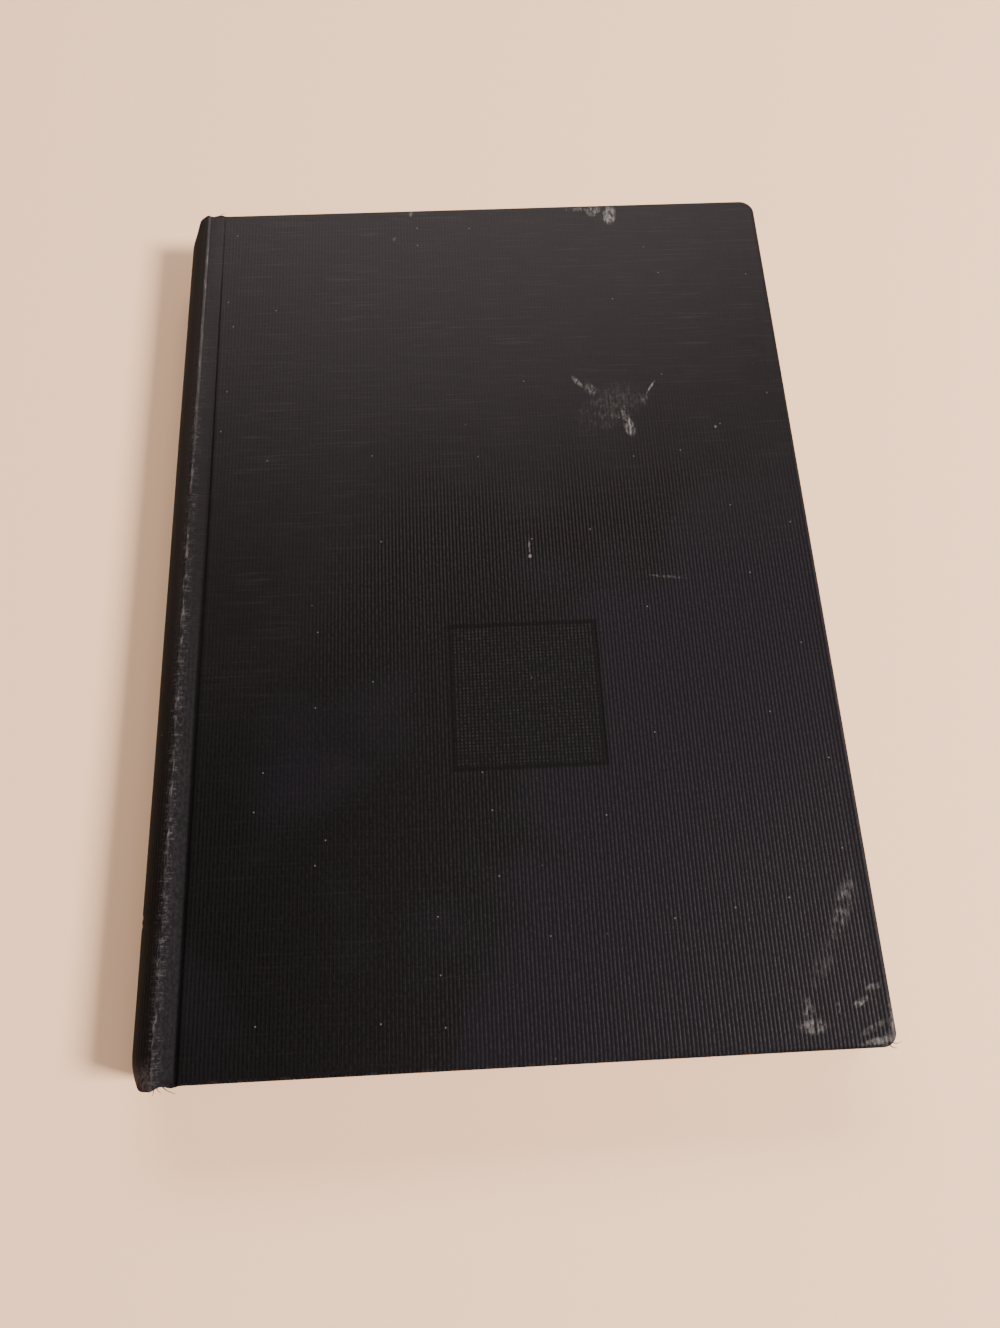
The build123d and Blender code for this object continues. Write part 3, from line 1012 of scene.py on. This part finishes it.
def buildThreads():
    material, shader, place = startMaterial("looseThread", roughness=0.8, specular=0.2)
    twist = place.noise(4.0, 2.0, 0.6)
    fibreFinish(shader, twist, (0.020, 0.017, 0.016, 1), (0.10, 0.085, 0.075, 1), 0.03, 0.6)
    for name, (root, way, tip, body) in threads.items():
        root, way, tip = (Vector((p[0] + edgeX, p[1], p[2])) * mm for p in (root, way, tip))
        deselectAll()
        radius = threadSize["radius"] * mm
        bpy.ops.mesh.primitive_circle_add(vertices=threadSize["sides"], radius=radius, location=root)
        piece = bpy.context.object
        piece.name = name
        piece.data.name = name
        first = (way - root).to_track_quat("Z", "Y")
        piece.rotation_euler = first.to_euler()
        bpy.ops.object.transform_apply(location=True, rotation=True, scale=True)
        bpy.ops.object.mode_set(mode="EDIT")
        bpy.ops.mesh.select_all(action="SELECT")
        end = root
        taper = (threadSize["taper"],) * 3
        for step in range(1, threadSize["steps"] + 1):
            t = step / threadSize["steps"]
            point = root * (1 - t) ** 2 + way * 2 * t * (1 - t) + tip * t ** 2
            bpy.ops.mesh.extrude_region_move(TRANSFORM_OT_translate={"value": point - end})
            bpy.ops.transform.resize(value=taper, center_override=point)
            end = point
        bpy.ops.object.mode_set(mode="OBJECT")
        closeEnds(piece)
        outward(piece)
        smooth(piece, 60)
        dress(piece, material)
        if body == "block":
            # these are baked into place, as the cloth is
            start = ((edgeX - cloth["bendStart"]) * mm, 0, 0)
            end = ((edgeX - cloth["bendEnd"]) * mm, 0, 0)
            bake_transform(piece)
        else:
            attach(piece, body)


def dressNodes(paper):
    # CAD pieces whose shape is right keep it and get their finish
    board, shader, place = startMaterial("greyBoard", roughness=0.9, specular=0.2)
    fibre = place.noise(0.5, 4.0, 0.7)
    fibreFinish(shader, fibre, (0.17, 0.14, 0.11, 1), (0.27, 0.23, 0.18, 1), 0.08, 0.6)
    gauze, shader, place = startMaterial("gauze", roughness=0.85, specular=0.2)
    threadTurn = 2 * math.pi / 1.1          # a thread of the gauze every 1.1 mm
    warp = (place.part(0) * threadTurn).maths("SINE") + (place.part(2) * threadTurn).maths("SINE")
    weft = (place.part(1) * threadTurn).maths("SINE")
    mesh = warp.most(weft)
    fibreFinish(shader, mesh, (0.25, 0.17, 0.09, 1), (0.55, 0.47, 0.33, 1), 0.08, 0.7, ends=(0.0, 1.0))
    lining, shader, place = startMaterial("liningPaper", roughness=0.85, specular=0.2)
    fibre = place.noise(0.4, 4.0, 0.7)
    fibreFinish(shader, fibre, (0.16, 0.10, 0.055, 1), (0.27, 0.19, 0.11, 1), 0.05, 0.5)
    finishes = {
        board: ("front_board", "back_board"),
        gauze: ("spine_mull", "front_mull_flap", "back_mull_flap"),
        lining: ("spine_lining",),
        paper: ("front_pastedown", "back_pastedown", "front_flyleaf", "back_flyleaf"),
    }
    for material, nodes in finishes.items():
        for node in nodes:
            dress(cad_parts[node], material)


addCamera()
addStudio()
print("studio ready")
buildCover()
buildPages()
paper = paperMaterial()
buildGutters(paper)
buildSpineCard()
buildBands()
buildThreads()
dressNodes(paper)
